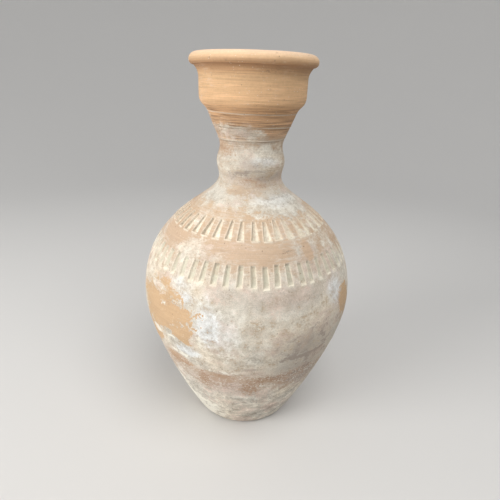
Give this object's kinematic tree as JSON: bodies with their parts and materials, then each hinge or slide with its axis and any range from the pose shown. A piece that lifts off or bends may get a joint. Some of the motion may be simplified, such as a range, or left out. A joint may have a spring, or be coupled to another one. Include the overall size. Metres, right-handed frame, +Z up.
{
  "type": "amphora",
  "caption": "Tall handleless clay storage jar with a narrow collared neck, flared mouth cup with a rolled rim, and two gouged flute bands on its shoulder.",
  "frame": {"origin": "centre of the flat resting face under the base slab", "axes": "+Z up along the axis of the jar; the jar is round, so +X and +Y are any two level directions"},
  "size_m": [0.259, 0.259, 0.45],
  "materials": {
    "chalked_base_clay": "matt unglazed clay under a worn pinkish grey chalk wash, bare at the edge",
    "chalked_lower_clay": "matt clay with a mottled chalk wash, a reddish brown streaked band and pits",
    "chalked_belly_clay": "matt clay with a mottled chalky grey-white wash, bare terracotta patches and gouged flutes",
    "fluted_shoulder_clay": "matt peach and cream washed clay with gouged flutes, cream burrs and terracotta lands",
    "chalked_neck_clay": "matt chalky cream wash over pinkish clay, scratched and lightly pitted",
    "tan_cup_clay": "smooth matt orange-tan clay with fine wheel lines, three raised ridges and white specks",
    "buff_rim_clay": "smooth light buff-orange clay, rubbed paler on the outer edge"
  },
  "bodies": {
    "root": {"base_slab": "chalked_base_clay", "lower_bowl": "chalked_lower_clay", "upper_bowl": "chalked_belly_clay", "shoulder": "fluted_shoulder_clay", "neck_with_collar": "chalked_neck_clay", "mouth_cup": "tan_cup_clay", "rolled_rim": "buff_rim_clay"}
  },
  "joints": []
}
